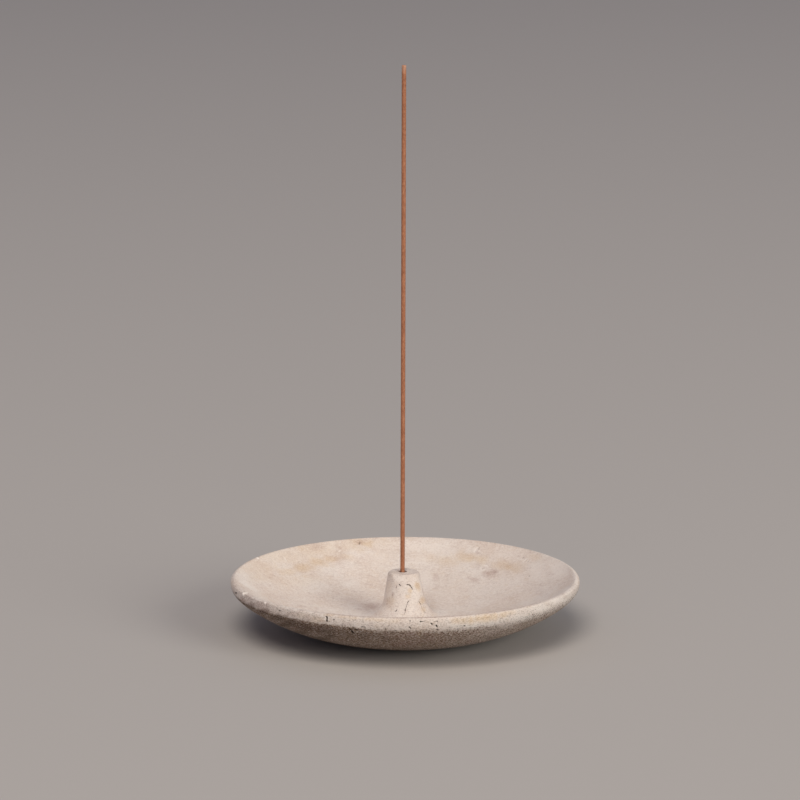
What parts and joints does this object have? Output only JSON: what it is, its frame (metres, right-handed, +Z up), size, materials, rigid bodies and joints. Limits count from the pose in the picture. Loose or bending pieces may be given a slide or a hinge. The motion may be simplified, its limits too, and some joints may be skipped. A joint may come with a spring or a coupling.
{
  "type": "incense stick holder",
  "caption": "Shallow round stone dish with a flared, drilled central post that holds an incense stick upright over a bowl that catches its ash.",
  "frame": {"origin": "centre of the dish's flat foot, on the table plane", "axes": "+Z up along the dish's axis and the stick; +Y away from the viewer of the picture; the stick's hole lies a little off the axis, towards -X"},
  "size_m": [0.135, 0.135, 0.2206],
  "materials": {
    "travertine": "honed, unsealed, with open pits",
    "incense": "extruded incense paste of ground wood, matte and grainy"
  },
  "bodies": {
    "dish": {"dish": "travertine"},
    "stick": {"incense_stick": "incense"}
  },
  "joints": [
    {"name": "stick_lift", "type": "slide", "parent": "dish", "child": "stick", "axis": [0, 0, 1], "range_m": [0, 0.0145]}
  ]
}
